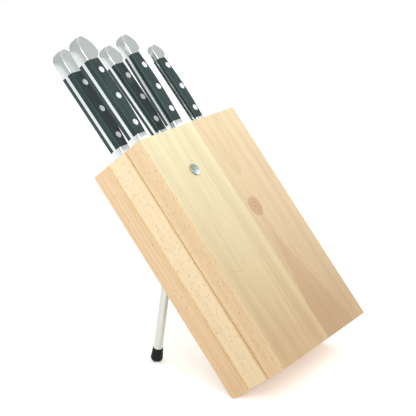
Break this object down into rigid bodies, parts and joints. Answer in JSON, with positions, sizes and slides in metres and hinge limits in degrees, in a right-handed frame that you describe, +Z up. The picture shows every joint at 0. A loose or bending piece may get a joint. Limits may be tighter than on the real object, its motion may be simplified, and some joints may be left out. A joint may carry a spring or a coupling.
{
  "type": "slanted knife block with knives",
  "caption": "Slanted wooden knife block propped on a steel rod leg, holding forged kitchen knives with riveted black handles, spines to one side.",
  "frame": {"origin": "centre of the footprint at table level", "axes": "+Z up; +X across the block from the side that the knife spines face; +Y from the front face towards the prop leg"},
  "size_m": [0.185, 0.295, 0.3735],
  "materials": {
    "beech_front": "oiled satin beech, pale face grain",
    "beech_side": "oiled satin beech, side grain with short flecks",
    "satin_steel": "satin polished stainless steel",
    "handle_black": "polished black handle scales",
    "rivet_steel": "polished rivet heads",
    "rubber_black": "matt black rubber",
    "insert_brass": "turned brass"
  },
  "bodies": {
    "block": {"board_front_left": "beech_front", "board_front_right": "beech_front", "board_middle": "beech_side", "board_rear": "beech_side", "lath_front_1": "beech_side", "lath_front_2": "beech_side", "lath_front_3": "beech_side", "lath_front_4": "beech_side", "lath_rear_1": "beech_side", "lath_rear_2": "beech_side", "lath_rear_3": "beech_side", "dowel_front_1": "beech_side", "dowel_front_2": "beech_side", "dowel_rear_1": "beech_side", "dowel_rear_2": "beech_side", "screw_insert": "insert_brass"},
    "leg": {"leg_rod": "satin_steel", "foot_cap": "rubber_black"},
    "lock_screw": {"lock_screw": "satin_steel"},
    "bread_knife": {"bread_steel": "satin_steel", "bread_scale_front": "handle_black", "bread_scale_rear": "handle_black", "bread_rivet_1": "rivet_steel", "bread_rivet_2": "rivet_steel", "bread_rivet_3": "rivet_steel"},
    "carving_knife": {"carving_steel": "satin_steel", "carving_scale_front": "handle_black", "carving_scale_rear": "handle_black", "carving_rivet_1": "rivet_steel", "carving_rivet_2": "rivet_steel", "carving_rivet_3": "rivet_steel"},
    "chef_knife": {"chef_steel": "satin_steel", "chef_scale_front": "handle_black", "chef_scale_rear": "handle_black", "chef_rivet_1": "rivet_steel", "chef_rivet_2": "rivet_steel", "chef_rivet_3": "rivet_steel"},
    "utility_knife": {"utility_steel": "satin_steel", "utility_scale_front": "handle_black", "utility_scale_rear": "handle_black", "utility_rivet_1": "rivet_steel", "utility_rivet_2": "rivet_steel", "utility_rivet_3": "rivet_steel"},
    "paring_knife": {"paring_steel": "satin_steel", "paring_scale_front": "handle_black", "paring_scale_rear": "handle_black", "paring_rivet_1": "rivet_steel", "paring_rivet_2": "rivet_steel", "paring_rivet_3": "rivet_steel"}
  },
  "joints": [
    {"name": "bread_draw", "type": "slide", "parent": "block", "child": "bread_knife", "axis": [0, 0.5835, 0.8121], "range_m": [0, 0.252]},
    {"name": "carving_draw", "type": "slide", "parent": "block", "child": "carving_knife", "axis": [0, 0.5835, 0.8121], "range_m": [0, 0.242]},
    {"name": "chef_draw", "type": "slide", "parent": "block", "child": "chef_knife", "axis": [0, 0.5835, 0.8121], "range_m": [0, 0.222]},
    {"name": "utility_draw", "type": "slide", "parent": "block", "child": "utility_knife", "axis": [0, 0.5835, 0.8121], "range_m": [0, 0.162]},
    {"name": "paring_draw", "type": "slide", "parent": "block", "child": "paring_knife", "axis": [0, 0.5835, 0.8121], "range_m": [0, 0.11]},
    {"name": "leg_extend", "type": "slide", "parent": "block", "child": "leg", "axis": [0, 0.213, -0.977], "range_m": [0, 0.04]},
    {"name": "lock_turn", "type": "hinge", "parent": "block", "child": "lock_screw", "pos_m": [-0.0388, -0.01606, 0.23119], "axis": [0, 0.8121, -0.5835], "range_deg": [-360, 0]}
  ]
}
